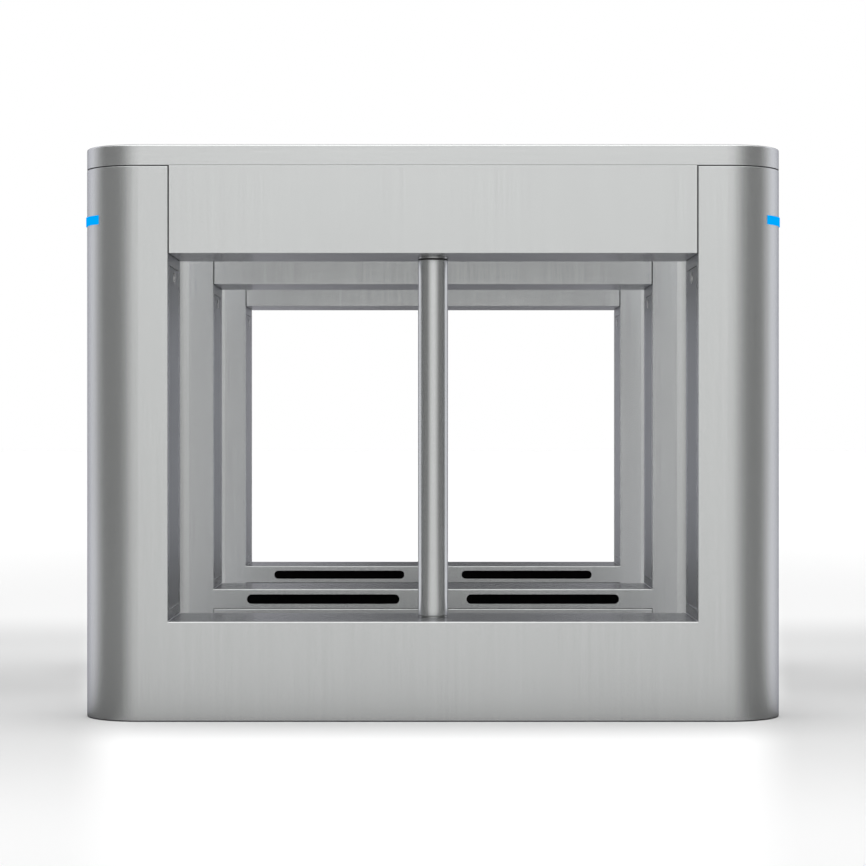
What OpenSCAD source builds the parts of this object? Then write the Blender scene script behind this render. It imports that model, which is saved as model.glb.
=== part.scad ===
// Swing barrier turnstile: three round-ended steel pedestals in a row make two
// lanes. Each lane is closed by two clear wings, one on each side, that turn on
// round poles standing in the openings of the pedestals.
// X runs along the lanes, Y across them and Z up. The origin is on the floor at
// the middle of the row.

/* [Pedestal] */
// Length of a pedestal along the lane
pedestal_l = 1200; // [1160:10:1600]
// Width of a pedestal across the lane
pedestal_w = 200; // [180:2:260]
// Height of a pedestal from the floor to the top of its lid
pedestal_h = 980; // [900:10:1200]
// Clear width of a lane between two pedestals
lane_w = 650; // [500:10:720]

/* [Opening] */
// Width of each end post, from the round end to the opening
post_w = 150; // [125:5:175]
// Height of the plinth under the opening
plinth_h = 170; // [165:5:240]
// Height of the beam over the opening
beam_h = 149.5; // [120:0.5:200]

/* [Sheet metal] */
// Thickness of the steel sheet
sheet_t = 2; // [1.5:0.1:2.5]
// Radius of a folded outer edge
fold_r = 2; // [1:0.5:2]
// Radius of a tight fold, at the jambs, at the top of the posts and along the beam
tight_fold_r = 1; // [0.5:0.5:1.5]
// Seam between the beam and the posts
beam_seam = 2; // [1:0.5:3]
// Gap between the housings and the floor
foot_gap = 2; // [1:0.5:5]

/* [Lid] */
// Height of the lid with its skirt
lid_h = 35; // [25:1:60]
// Radius of the lid's top edge
lid_edge_r = 3; // [1:0.5:4]
// Seam under the lid on the posts
lid_seam = 1.8; // [1:0.1:4]
// Seam under the lid on the beam
lid_beam_seam = 0.5; // [0.5:0.5:3]

/* [Jamb door] */
// Margin above and below a jamb door
door_margin_z = 20; // [15:1:60]
// Margin beside a jamb door
door_margin_y = 28; // [15:1:40]
// Seam round a jamb door
door_seam = 1.2; // [0.8:0.1:2]
// Diameter of the lock's head
lock_d = 18; // [14:1:24]
// Distance from the top of the door to the lock's centre
lock_drop = 16; // [16:1:40]

/* [Light band] */
// Height of a light band
band_h = 15; // [8:1:30]
// Distance from the top of the lid to the top of a light band
band_drop = 118; // [90:1:200]
// Angle that a light band wraps round the end
band_sweep = 88; // [40:1:150]
// How far a light band stands out of the post
band_proud = 1.8; // [0.5:0.1:3]

/* [Sensor windows] */
// Length of a sensor window
window_l = 312; // [150:2:340]
// Height of a sensor window
window_h = 19; // [12:1:24]
// Distance from the pole's axis to the centre of a window
window_x = 225; // [190:5:260]
// Depth of a window's centre under the sill
window_drop = 20.5; // [16:0.5:24]
// Height of the wall that stays above the lower cover
window_wall_h = 39; // [36:1:50]

/* [Swing poles] */
// Diameter of a pole
pole_d = 52; // [44:1:64]
// Wall of a pole's tube
pole_t = 3; // [2:0.5:5]
// Gap between the pole and the sill
pole_foot_gap = 3.5; // [1:0.5:5]
// Gap between the pole and the soffit
pole_head_gap = 5; // [3:0.5:10]
// Diameter of the shaft at both ends of a pole
shaft_d = 20; // [14:1:25]
// Distance from the middle of the row's centre pedestal to each of its poles
pole_offset = 50; // [42:1:60]
// Diameter of the collar that shows above a pole
collar_d = 48; // [36:1:60]

/* [Wings] */
// Thickness of a wing
wing_t = 10; // [6:1:12]
// Gap between two closed wings of a lane
wing_gap = 50; // [30:5:120]
// Distance from the sill to a wing
wing_clear_z = 45; // [25:5:150]
// Radius of a wing's outer corners
wing_r = 40; // [5:5:100]

/* [Floor fixing] */
// Thickness of a floor plate
floor_plate_t = 8; // [6:1:15]
// Diameter of an anchor hole
anchor_d = 14; // [10:1:18]
// Distance from the end of a pedestal to its anchors
anchor_inset = 70; // [60:1:90]
// Distance between the anchors across a pedestal
anchor_pitch = 100; // [80:1:110]

/* [Hidden] */
$fn = 96;

// Places of the row
pitch = lane_w + pedestal_w;
near_y = -pitch;
far_y = pitch;

// Levels and places of one pedestal
end_r = pedestal_w / 2;
end_x = pedestal_l / 2 - end_r;
jamb_x = pedestal_l / 2 - post_w;
lid_z = pedestal_h - lid_h;
lid_under_z = pedestal_h - sheet_t;
post_top_z = lid_z - lid_seam;
beam_top_z = lid_z - lid_beam_seam;
soffit_z = beam_top_z - beam_h;
cover_seam_z = plinth_h - window_wall_h;
band_z = pedestal_h - band_drop - band_h;

// Clearance between pieces that are fitted into each other
fit = 0.3;
// Running clearance between a shaft and its bore
bore_clear = 0.05;
// Overlap of welded pieces of one node
weld = 1;

// Overlap of the neck inside the post
neck_lap = 20;
// Width of the flange that a lower cover seats on
flange_w = 10;
// Width of the flange that a jamb door seats on
door_flange_w = 6;
// Depth of the folded rim behind a door
door_rim_d = 8;
// Width of the lips along open edges of the housings
lip_w = 25;
// Seam round the lower cover
cover_seam = 1;
// Radius of the lower cover's top edge
cover_edge_r = 2;

// Lock
lock_head_t = 1.5;
lock_barrel_d = lock_d - 2;
lock_barrel_l = 18;
lock_cam = [2, 9, 30];
key_slot = [0.8, 1.6, 9];

// Windows
window_lens_t = 3;
window_recess = 0.4;
window_flange_w = 4;

// Bearings
bearing_flange_t = 7;
bearing_flange_lap = 7;
bearing_body_d = 40;
bearing_body_l = 36;
bearing_nose_d = 30;
collar_clear = 0.8;

// Poles and wings
pole_z = plinth_h + pole_foot_gap;
pole_top_z = soffit_z - pole_head_gap;
pole_plug_t = 12;
pole_edge = 1.2;
pole_head_h = 2.5;
pole_head_seam = 0.8;
shaft_end = 3;
wing_z = plinth_h + wing_clear_z;
wing_top_z = soffit_z - wing_clear_z - pole_head_gap;
wing_seat = 6;
wing_side_clear = 0.2;
jaw_t = 4;
side_reach = lane_w / 2 + end_r - wing_gap / 2;
middle_reach = side_reach - pole_offset;

// Cable opening in a floor plate
cable_d = 60;

// ---------------------------------------------------------------- helpers

module at_row(y) {
    translate([0, y, 0]) children();
}

// Extrudes an outline drawn in Y and Z along X, centred on x = 0
module along_x(length) {
    rotate([90, 0, 90]) linear_extrude(length, center = true) children();
}

// Repeats a piece at both ends of a pedestal
module both_ends() {
    children();
    mirror([1, 0, 0]) children();
}

// Long round-ended plan of a pedestal, set in from its skin
module pedestal_plan(inset) {
    r = end_r - inset;
    square([2 * end_x, 2 * r], center = true);
    for (side = [-1, 1])
        translate([side * end_x, 0]) circle(r);
}

// Plan of the post at +X, set in from its skin on every side
module post_plan(inset) {
    intersection() {
        pedestal_plan(inset);
        translate([jamb_x + inset, -pedestal_w / 2])
            square([post_w, pedestal_w]);
    }
}

// Ring of sheet that follows the post's plan
module post_ring(inset, t) {
    difference() {
        post_plan(inset);
        post_plan(inset + t);
    }
}

// Rectangle from (-w / 2, z0) to (w / 2, z1) with round upper corners
module round_top(w, z0, z1, r) {
    translate([-w / 2, z0]) square([w, z1 - z0 - r]);
    translate([-w / 2 + r, z0]) square([w - 2 * r, z1 - z0]);
    for (side = [-1, 1])
        translate([side * (w / 2 - r), z1 - r]) circle(r);
}

// Rectangle with four round corners, centred
module round_rect(w, h, r) {
    square([w - 2 * r, h], center = true);
    square([w, h - 2 * r], center = true);
    for (x = [-1, 1], y = [-1, 1])
        translate([x * (w / 2 - r), y * (h / 2 - r)]) circle(r);
}

// Slot with full round ends, centred
module slot(l, h) {
    square([l - h, h], center = true);
    for (side = [-1, 1])
        translate([side * (l - h) / 2, 0]) circle(h / 2);
}

// Rectangular frame of the jamb: outer size grown, inner size shrunk, in Y and Z
module jamb_rect(grow) {
    y = pedestal_w / 2 - door_margin_y + grow;
    z0 = plinth_h + door_margin_z - grow;
    z1 = soffit_z - door_margin_z + grow;
    translate([-y, z0]) square([2 * y, z1 - z0]);
}

// What a fold of radius r takes off a square corner at (x, y), the metal lying to (-X, -Y)
module fold_waste(x, y, r) {
    translate([x, y]) difference() {
        square(2 * r, center = true);
        translate([-r, -r]) circle(r);
    }
}

// Sweeps an outline drawn in Y and Z round the flat sides and the end of the post at +X
module round_post() {
    for (side = [0, 1])
        mirror([0, side, 0])
            translate([(jamb_x + end_x) / 2, 0, 0]) along_x(end_x - jamb_x + weld) children();
    translate([end_x, 0, 0])
        rotate([0, 0, -90]) rotate_extrude(angle = 180, $fn = 192) children();
}

// Extrudes an outline drawn in Y and Z from x0 towards +X
module jamb_plate(x0, t) {
    translate([x0, 0, 0]) rotate([90, 0, 90]) linear_extrude(t) children();
}

// Part of a ring round the end at +X
module end_sector(r0, r1, z0, z1, sweep) {
    translate([end_x, 0, 0])
        rotate([0, 0, -sweep / 2])
            rotate_extrude(angle = sweep, $fn = 192)
                translate([r0, z0]) square([r1 - r0, z1 - z0]);
}

// ---------------------------------------------------------------- housings

module post_right() {
    color("silver") {
        difference() {
            translate([0, 0, foot_gap])
                linear_extrude(post_top_z - foot_gap, $fn = 192) post_ring(0, sheet_t);
            // Opening of the jamb door
            jamb_plate(jamb_x - weld, sheet_t + 2 * weld) jamb_rect(door_seam);
            // Tight folds down both edges of the jamb, above the plinth
            for (side = [0, 1])
                mirror([0, side, 0])
                    translate([0, 0, plinth_h])
                        linear_extrude(post_top_z)
                            mirror([1, 0]) fold_waste(-jamb_x, end_r, tight_fold_r);
            // Fold at the top edge, under the lid
            round_post() fold_waste(end_r, post_top_z, tight_fold_r);
            // Slot of the light band
            end_sector(end_r - 2 * sheet_t, end_r + weld, band_z - fit,
                band_z + band_h + fit, band_sweep + 0.5);
        }
        // Flange behind the jamb door
        jamb_plate(jamb_x + sheet_t, sheet_t) difference() {
            jamb_rect(door_seam + 5);
            jamb_rect(door_seam - door_flange_w);
        }
        // Neck that carries the lid, set in to leave a shadow line
        translate([0, 0, post_top_z - neck_lap])
            linear_extrude(neck_lap, $fn = 192) post_ring(sheet_t - weld, sheet_t + weld);
        translate([0, 0, post_top_z - sheet_t])
            linear_extrude(lid_under_z - post_top_z + sheet_t, $fn = 192)
                post_ring(sheet_t + fit, sheet_t - fit);
    }
}

module post_left() {
    mirror([1, 0, 0]) post_right();
}

// Sill and side walls. Each lane side is cut back for its cover and windows.
module plinth(lane_sides) {
    half = pedestal_w / 2;
    color("silver") {
        difference() {
            along_x(2 * jamb_x) difference() {
                round_top(pedestal_w, foot_gap, plinth_h, fold_r);
                translate([-half + sheet_t, 0])
                    square([pedestal_w - 2 * sheet_t, plinth_h - sheet_t]);
            }
            for (side = lane_sides) {
                // Space of the lower cover
                translate([-jamb_x - weld, side * half - sheet_t, 0])
                    cube([2 * (jamb_x + weld), 2 * sheet_t, cover_seam_z]);
                // Sensor windows
                for (x = [-window_x, window_x])
                    translate([x, side * half, plinth_h - window_drop])
                        rotate([90, 0, 0])
                            linear_extrude(4 * sheet_t, center = true)
                                slot(window_l + 2 * fit, window_h + 2 * fit);
            }
            // Shaft passages
            for (y = axis_rows(lane_sides))
                translate([0, y, plinth_h - 2 * sheet_t])
                    cylinder(d = bearing_nose_d + 2 * fit, h = 3 * sheet_t);
        }
        for (side = lane_sides)
            cover_frame(side);
        // Lips along the bottom of a plain wall
        for (side = [-1, 1])
            if (len(search(side, lane_sides)) == 0)
                translate([-jamb_x, side == 1 ? half - lip_w : -half + weld, foot_gap])
                    cube([2 * jamb_x, lip_w - weld, sheet_t]);
    }
}

// Poles stand on the middle line, or one for each lane of the middle pedestal
function axis_rows(lane_sides) =
    len(lane_sides) == 1 ? [0] : [-pole_offset, pole_offset];

// Frame that a lower cover seats on
module cover_frame(side) {
    y = pedestal_w / 2 - 2 * sheet_t;
    z1 = cover_seam_z + 0.5 * flange_w - 1;
    window_edge = cover_seam_z - flange_w;
    mirror([0, side == 1 ? 0 : 1, 0])
        translate([0, y + sheet_t, 0]) rotate([90, 0, 0])
            linear_extrude(sheet_t) difference() {
                translate([-jamb_x, foot_gap])
                    square([2 * jamb_x, z1 - foot_gap]);
                translate([-jamb_x + lip_w, foot_gap + lip_w])
                    square([2 * (jamb_x - lip_w), window_edge - foot_gap - lip_w]);
            }
}

// Lower cover of a lane side
module plinth_cover(side) {
    half = pedestal_w / 2;
    z1 = cover_seam_z - cover_seam;
    color("silver")
        mirror([0, side == 1 ? 0 : 1, 0])
            along_x(2 * (jamb_x - cover_seam)) intersection() {
                translate([half - 2 * sheet_t, 0])
                    round_top(4 * sheet_t, foot_gap, z1, cover_edge_r);
                translate([half - sheet_t, 0]) square([sheet_t, pedestal_h]);
            }
}

module beam(axis_list) {
    half = pedestal_w / 2;
    mid_z = (soffit_z + beam_top_z) / 2;
    color("silver") difference() {
        union() {
            along_x(2 * (jamb_x - beam_seam)) difference() {
                translate([0, mid_z]) round_rect(pedestal_w, beam_h, tight_fold_r);
                translate([0, mid_z])
                    square([pedestal_w - 2 * sheet_t, beam_h - 2 * sheet_t], center = true);
                translate([-half + lip_w, mid_z])
                    square([pedestal_w - 2 * lip_w, beam_h]);
            }
            // End plates, which bolt to the posts
            for (side = [-1, 1]) {
                translate([side * (jamb_x - beam_seam - sheet_t / 2), 0, mid_z])
                    cube([sheet_t, pedestal_w - sheet_t, beam_h - sheet_t], center = true);
                translate([side * (jamb_x - beam_seam / 2 - weld / 2), 0, mid_z])
                    cube([beam_seam + weld, pedestal_w - 4 * sheet_t, beam_h - 4 * sheet_t],
                        center = true);
            }
        }
        for (y = axis_list)
            translate([0, y, soffit_z - sheet_t])
                cylinder(d = collar_d + 2 * fit, h = 3 * sheet_t);
    }
}

// Half section of the lid at y >= 0
module lid_half() {
    intersection() {
        difference() {
            round_top(pedestal_w, lid_z, pedestal_h, lid_edge_r);
            translate([-pedestal_w / 2 + sheet_t, 0])
                square([pedestal_w - 2 * sheet_t, lid_under_z]);
        }
        translate([0, lid_z]) square([pedestal_w, lid_h]);
    }
}

module lid() {
    color("silver") {
        along_x(2 * end_x) {
            lid_half();
            mirror([1, 0]) lid_half();
        }
        both_ends()
            translate([end_x, 0, 0])
                rotate([0, 0, -90]) rotate_extrude(angle = 180, $fn = 192) lid_half();
    }
}

// ---------------------------------------------------------------- fittings

module jamb_doors() {
    color("lightgray") both_ends() difference() {
        union() {
            jamb_plate(jamb_x, sheet_t) jamb_rect(0);
            // Folded rim that stiffens the leaf and passes through the flange
            jamb_plate(jamb_x + sheet_t - weld, door_rim_d + weld) difference() {
                jamb_rect(door_seam - door_flange_w - 1);
                jamb_rect(door_seam - door_flange_w - 1 - sheet_t);
            }
        }
        translate([jamb_x - weld, 0, soffit_z - door_margin_z - lock_drop])
            rotate([0, 90, 0]) cylinder(d = lock_barrel_d + 2 * fit, h = 4 * sheet_t);
    }
}

module door_locks() {
    z = soffit_z - door_margin_z - lock_drop;
    color("dimgray") both_ends() translate([jamb_x, 0, z]) {
        difference() {
            rotate([0, -90, 0]) cylinder(d = lock_d, h = lock_head_t);
            translate([-lock_head_t, 0, 0]) cube(key_slot, center = true);
        }
        rotate([0, 90, 0]) cylinder(d = lock_barrel_d, h = lock_barrel_l);
        translate([lock_barrel_l - lock_cam[0], -lock_cam[1] / 2, 0]) cube(lock_cam);
    }
}

module light_bands() {
    color("deepskyblue") both_ends() {
        end_sector(end_r - sheet_t - 1.5, end_r + band_proud, band_z, band_z + band_h,
            band_sweep);
        // Flange behind the skin
        end_sector(end_r - 2 * sheet_t, end_r - sheet_t - fit, band_z - 4,
            band_z + band_h + 4, band_sweep + 4);
    }
}

module sensor_windows(lane_sides) {
    z = plinth_h - window_drop;
    y = pedestal_w / 2;
    color("black")
        for (side = lane_sides, x = [-window_x, window_x])
            translate([x, 0, z]) mirror([0, side == 1 ? 0 : 1, 0]) {
                translate([0, y - window_recess, 0]) rotate([90, 0, 0])
                    linear_extrude(window_lens_t) slot(window_l, window_h);
                // Flange behind the wall
                translate([0, y - sheet_t, 0]) rotate([90, 0, 0])
                    linear_extrude(sheet_t)
                        slot(window_l + 2 * window_flange_w, window_h + 2 * window_flange_w);
            }
}

module bearings(axis_list) {
    color([0.1, 0.1, 0.11])
        for (y = axis_list) translate([0, y, 0]) difference() {
            union() {
                // Lower bearing under the sill
                translate([0, 0, plinth_h - sheet_t - bearing_body_l])
                    cylinder(d = bearing_body_d, h = bearing_body_l);
                translate([0, 0, plinth_h - sheet_t - bearing_flange_t])
                    cylinder(d = bearing_nose_d + 4 * bearing_flange_lap,
                        h = bearing_flange_t);
                translate([0, 0, plinth_h - sheet_t - weld])
                    cylinder(d = bearing_nose_d, h = sheet_t + weld);
                // Upper bearing on the soffit, with the collar that shows above the pole
                translate([0, 0, pole_top_z + collar_clear])
                    cylinder(d = collar_d, h = soffit_z + sheet_t - pole_top_z);
                translate([0, 0, soffit_z + sheet_t])
                    cylinder(d = collar_d + 2 * bearing_flange_lap, h = bearing_flange_t);
                translate([0, 0, soffit_z + sheet_t])
                    cylinder(d = bearing_body_d, h = bearing_body_l);
            }
            translate([0, 0, foot_gap])
                cylinder(d = shaft_d + 2 * bore_clear, h = pedestal_h);
        }
}

module floor_plates() {
    color("gray") both_ends() difference() {
        linear_extrude(floor_plate_t, $fn = 192) post_plan(sheet_t + fit);
        for (side = [-1, 1])
            translate([pedestal_l / 2 - anchor_inset, side * anchor_pitch / 2, -weld])
                cylinder(d = anchor_d, h = floor_plate_t + 2 * weld);
        translate([pedestal_l / 2 - anchor_inset, 0, -weld])
            cylinder(d = cable_d, h = floor_plate_t + 2 * weld);
    }
}

// ---------------------------------------------------------------- barriers

// Pole with its wing side towards +Y
module pole() {
    r = pole_d / 2;
    slot_w = wing_t + 2 * wing_side_clear;
    color("silver") difference() {
        union() {
            rotate_extrude() difference() {
                polygon([
                    [0, pole_z], [r - pole_edge, pole_z], [r, pole_z + pole_edge],
                    [r, pole_top_z - pole_edge], [r - pole_edge, pole_top_z], [0, pole_top_z]
                ]);
                translate([0, pole_z + pole_plug_t])
                    square([r - pole_t, pole_top_z - pole_z - 2 * pole_plug_t]);
                // Seam between the tube and the head that closes it
                translate([r - pole_head_seam, pole_top_z - pole_head_h - pole_head_seam])
                    square([2 * pole_head_seam, pole_head_seam]);
            }
            // Jaws that clamp the wing
            translate([0, 0, pole_z + pole_plug_t - weld])
                linear_extrude(pole_top_z - pole_z - 2 * pole_plug_t + 2 * weld)
                    intersection() {
                        circle(r - pole_t / 2);
                        translate([-slot_w / 2 - jaw_t, wing_seat - jaw_t])
                            square([slot_w + 2 * jaw_t, r]);
                    }
            // Shafts
            translate([0, 0, plinth_h - sheet_t - bearing_body_l + shaft_end])
                cylinder(d = shaft_d, h = pole_z - plinth_h + sheet_t + bearing_body_l);
            translate([0, 0, pole_top_z - pole_plug_t])
                cylinder(d = shaft_d, h = soffit_z + sheet_t + bearing_body_l
                    - shaft_end - pole_top_z + pole_plug_t);
        }
        translate([-slot_w / 2, wing_seat, wing_z - fit])
            cube([slot_w, pole_d, wing_top_z - wing_z + 2 * fit]);
    }
}

// Clear wing, reaching towards +Y
module wing(reach) {
    l = reach - wing_seat - fit;
    h = wing_top_z - wing_z;
    color([0.75, 0.85, 0.88, 0.5])
        translate([0, wing_seat + fit, wing_z])
            rotate([90, 0, 90]) linear_extrude(wing_t, center = true) {
                square([l - wing_r, h]);
                translate([0, wing_r]) square([l, h - 2 * wing_r]);
                for (z = [wing_r, h - wing_r])
                    translate([l - wing_r, z]) circle(wing_r);
            }
}

// ---------------------------------------------------------------- nodes

at_row(near_y) post_left();  // near_post_left
at_row(near_y) post_right();  // near_post_right
at_row(near_y) plinth([1]);  // near_plinth
at_row(near_y) plinth_cover(1);  // near_plinth_cover
at_row(near_y) beam([0]);  // near_beam
at_row(near_y) lid();  // near_lid
at_row(near_y) jamb_doors();  // near_jamb_doors
at_row(near_y) door_locks();  // near_door_locks
at_row(near_y) light_bands();  // near_light_bands
at_row(near_y) sensor_windows([1]);  // near_sensor_windows
at_row(near_y) bearings([0]);  // near_bearings
at_row(near_y) floor_plates();  // near_floor_plates
at_row(near_y) pole();  // near_pole
at_row(near_y) wing(side_reach);  // near_wing

post_left();  // middle_post_left
post_right();  // middle_post_right
plinth([-1, 1]);  // middle_plinth
union() {  // middle_plinth_covers
    plinth_cover(-1);
    plinth_cover(1);
}
beam([-pole_offset, pole_offset]);  // middle_beam
lid();  // middle_lid
jamb_doors();  // middle_jamb_doors
door_locks();  // middle_door_locks
light_bands();  // middle_light_bands
sensor_windows([-1, 1]);  // middle_sensor_windows
bearings([-pole_offset, pole_offset]);  // middle_bearings
floor_plates();  // middle_floor_plates
at_row(-pole_offset) mirror([0, 1, 0]) pole();  // middle_near_pole
at_row(-pole_offset) mirror([0, 1, 0]) wing(middle_reach);  // middle_near_wing
at_row(pole_offset) pole();  // middle_far_pole
at_row(pole_offset) wing(middle_reach);  // middle_far_wing

at_row(far_y) post_left();  // far_post_left
at_row(far_y) post_right();  // far_post_right
at_row(far_y) plinth([-1]);  // far_plinth
at_row(far_y) plinth_cover(-1);  // far_plinth_cover
at_row(far_y) beam([0]);  // far_beam
at_row(far_y) lid();  // far_lid
at_row(far_y) jamb_doors();  // far_jamb_doors
at_row(far_y) door_locks();  // far_door_locks
at_row(far_y) light_bands();  // far_light_bands
at_row(far_y) sensor_windows([-1]);  // far_sensor_windows
at_row(far_y) bearings([0]);  // far_bearings
at_row(far_y) floor_plates();  // far_floor_plates
at_row(far_y) mirror([0, 1, 0]) pole();  // far_pole
at_row(far_y) mirror([0, 1, 0]) wing(side_reach);  // far_wing
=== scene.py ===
"""Finishes and small fittings of a swing barrier turnstile, built round its fixed frame."""

import math

import bmesh
import bpy
from bpy.props import FloatProperty, FloatVectorProperty, PointerProperty
from mathutils import Matrix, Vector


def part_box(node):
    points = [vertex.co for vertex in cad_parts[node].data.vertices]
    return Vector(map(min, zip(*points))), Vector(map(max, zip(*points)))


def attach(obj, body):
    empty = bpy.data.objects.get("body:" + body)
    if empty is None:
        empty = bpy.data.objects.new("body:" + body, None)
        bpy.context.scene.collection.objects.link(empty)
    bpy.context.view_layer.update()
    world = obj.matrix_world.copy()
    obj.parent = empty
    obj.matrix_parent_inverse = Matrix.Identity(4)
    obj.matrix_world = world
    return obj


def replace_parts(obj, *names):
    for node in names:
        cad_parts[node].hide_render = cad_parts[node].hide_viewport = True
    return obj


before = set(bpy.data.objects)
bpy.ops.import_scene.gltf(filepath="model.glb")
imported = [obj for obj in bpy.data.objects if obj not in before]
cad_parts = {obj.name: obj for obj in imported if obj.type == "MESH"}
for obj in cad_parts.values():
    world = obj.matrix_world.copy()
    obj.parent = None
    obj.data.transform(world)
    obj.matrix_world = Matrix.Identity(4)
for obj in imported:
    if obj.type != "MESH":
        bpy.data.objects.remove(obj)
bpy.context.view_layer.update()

bl_info = {
    "name": "Swing Barrier Turnstile",
    "version": (1, 0, 0),
    "blender": (4, 5, 0),
    "location": "View3D > Sidebar > Turnstile",
    "description": "Finishes a row of brushed steel pedestals with clear swing wings",
    "category": "Object",
}

MM = 0.001

# Each pedestal with the sides of it that face a lane
PEDESTALS = {"near": (1,), "middle": (-1, 1), "far": (-1,)}
FIXED_BODY = "pedestals"
HOUSINGS = ("post_left", "post_right", "beam", "plinth", "plinth_cover", "plinth_covers")
# Sizes of the sheet housings that their boxes don't give
SHEET = 2.0 * MM
LID_SEAM = 1.8 * MM
BEAM_SEAM = 2.0 * MM
COVER_SEAM = 1.0 * MM
DOOR_SEAM = 1.2 * MM
COLLAR_BORE = 48.2 * MM
FOOT_BORE = 32.0 * MM
# Between the head of a pole and the underside of the beam
HEAD_GAP = 5.0 * MM
# Rounding of the upper edges of a collar, and of the smaller rings
COLLAR_EDGE = 0.3 * MM
RING_EDGE = 0.1 * MM
BEZEL_H = 1.0 * MM
BEZEL_EDGE = 0.2 * MM
GLAZING_BEAD_W = 1.5 * MM
# Points nearer to each other than this are one
MERGE = 0.001 * MM
# Straight pieces that a round end of a pedestal, a ring of a pole and a pale bead painting a
# highlight at a jamb are made of
END_SEGMENTS = 192
RING_SEGMENTS = 96
BEAD_SEGMENTS = 12

# Each wing with its pole, the body that carries both and the side of its pole it reaches to
GATES = {
    "near": ("near_gate", 1),
    "middle_near": ("middle_near_gate", -1),
    "middle_far": ("middle_far_gate", 1),
    "far": ("far_gate", -1),
}


# ---------------------------------------------------------------- node trees


class Socket:
    """A value that leaves a node. Arithmetic on it adds Math nodes."""

    def __init__(self, finish, out):
        self.finish = finish
        self.out = out

    def math(self, operation, *values):
        return self.finish.node("ShaderNodeMath", {"operation": operation}, values)

    def __add__(self, other):
        return self.math("ADD", self, other)

    __radd__ = __add__

    def __sub__(self, other):
        return self.math("SUBTRACT", self, other)

    def __rsub__(self, other):
        return self.math("SUBTRACT", other, self)

    def __mul__(self, other):
        return self.math("MULTIPLY", self, other)

    __rmul__ = __mul__

    def __truediv__(self, other):
        return self.math("DIVIDE", self, other)

    def __pow__(self, other):
        return self.math("POWER", self, other)

    def __neg__(self):
        return self * -1.0

    def __abs__(self):
        return self.math("ABSOLUTE", self)

    def least(self, other):
        return self.math("MINIMUM", self, other)

    def most(self, other):
        return self.math("MAXIMUM", self, other)

    def turn_from(self, other):
        """Angle of the point (other, self) from the first axis, as a share of half a turn."""
        return self.math("ARCTAN2", self, other) / math.pi

    def step(self, low, high):
        """0 below low, 1 above high and smooth between them."""
        return self.finish.node(
            "ShaderNodeMapRange",
            {"interpolation_type": "SMOOTHSTEP"},
            {"Value": self, "From Min": low, "From Max": high},
        )


class Finish:
    """The node tree of a material or of the world."""

    def __init__(self, owner):
        owner.use_nodes = True
        self.tree = owner.node_tree
        self.tree.nodes.clear()

    def node(self, kind, settings=None, inputs=(), output=0):
        """Adds a node, sets its settings, then its sockets, and gives one of its outputs."""
        made = self.tree.nodes.new(kind)
        for name, value in (settings or {}).items():
            setattr(made, name, value)
        pairs = inputs.items() if isinstance(inputs, dict) else enumerate(inputs)
        for key, value in pairs:
            if isinstance(value, Socket):
                self.tree.links.new(value.out, made.inputs[key])
            else:
                made.inputs[key].default_value = value
        return Socket(self, made.outputs[output]) if len(made.outputs) else None

    def mix(self, factor, first, second):
        """A number between two numbers."""
        return self.node("ShaderNodeMix", {"data_type": "FLOAT"}, {0: factor, 2: first, 3: second})

    def place(self, scale=(1.0, 1.0, 1.0)):
        """Object coordinates, stretched."""
        coordinates = self.node("ShaderNodeTexCoord", output="Object")
        return self.node("ShaderNodeMapping", {}, {"Vector": coordinates, "Scale": scale})

    def axis(self, name):
        """One of the object coordinates, in metres."""
        coordinates = self.node("ShaderNodeTexCoord", output="Object")
        return self.node("ShaderNodeSeparateXYZ", {}, [coordinates], output=name)

    def noise(self, vector, scale, detail=2.0, roughness=0.5):
        return self.node(
            "ShaderNodeTexNoise",
            {},
            {"Vector": vector, "Scale": scale, "Detail": detail, "Roughness": roughness},
        )

    def blend(self, factor, first, second):
        """A colour between two colours."""
        return self.node(
            "ShaderNodeMix", {"data_type": "RGBA"}, {0: factor, 6: first, 7: second}, output=2
        )

    def grey(self, level):
        """A colour of one level."""
        return self.node("ShaderNodeCombineColor", {}, [level, level, level])

    def bump(self, height, strength, distance):
        return self.node(
            "ShaderNodeBump", {}, {"Height": height, "Strength": strength, "Distance": distance}
        )

    def surface(self, **sockets):
        """Ends the tree in a Principled shader; a name's underscores stand for spaces."""
        named = {name.replace("_", " "): value for name, value in sockets.items()}
        shader = self.node("ShaderNodeBsdfPrincipled", {}, named)
        self.node("ShaderNodeOutputMaterial", {}, {"Surface": shader})


def new_finish(name):
    """A new material with its empty tree."""
    material = bpy.data.materials.new(name)
    return material, Finish(material)


def rgba(colour, level=1.0):
    return (colour[0] * level, colour[1] * level, colour[2] * level, 1.0)


# ---------------------------------------------------------------- finishes

# How much of its colour the steel keeps where it is seen at a glancing angle
EDGE_TINT = (0.46, 0.46, 0.49, 1.0)
# The rest of the steel's light comes from the broad haze of its scratches
METAL_SHARE = 0.87
# How much the noise is drawn out along the scratches, the scales of the fine and the broad
# scratches and of the clouds over them, and the share of the fine ones
GRAIN_STRETCH = 0.012
FINE_SCALE = 700.0
BROAD_SCALE = 150.0
CLOUD_SCALE = 4.0
FINE_SHARE = 0.6
# How far the grain and the clouds change the tone, the roughness and the relief
TONE_SPREAD = 0.07
CLOUD_SPREAD = 0.3
GRAIN_ROUGHNESS = 0.05
GRAIN_RELIEF = 0.003
BUMP_DISTANCE = 0.1 * MM
# Painted light on the lane beams, made brighter than the sheet for the more light they stand in,
# and painted reflection on the rings on the poles, made darker like the pole's mirror image in the
# soffit and the sill, as shares of the sheet's tone
LANE_BEAM_PAINTED_LIGHT = 1.06
RING_PAINTED_REFLECTION = 0.52


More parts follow.
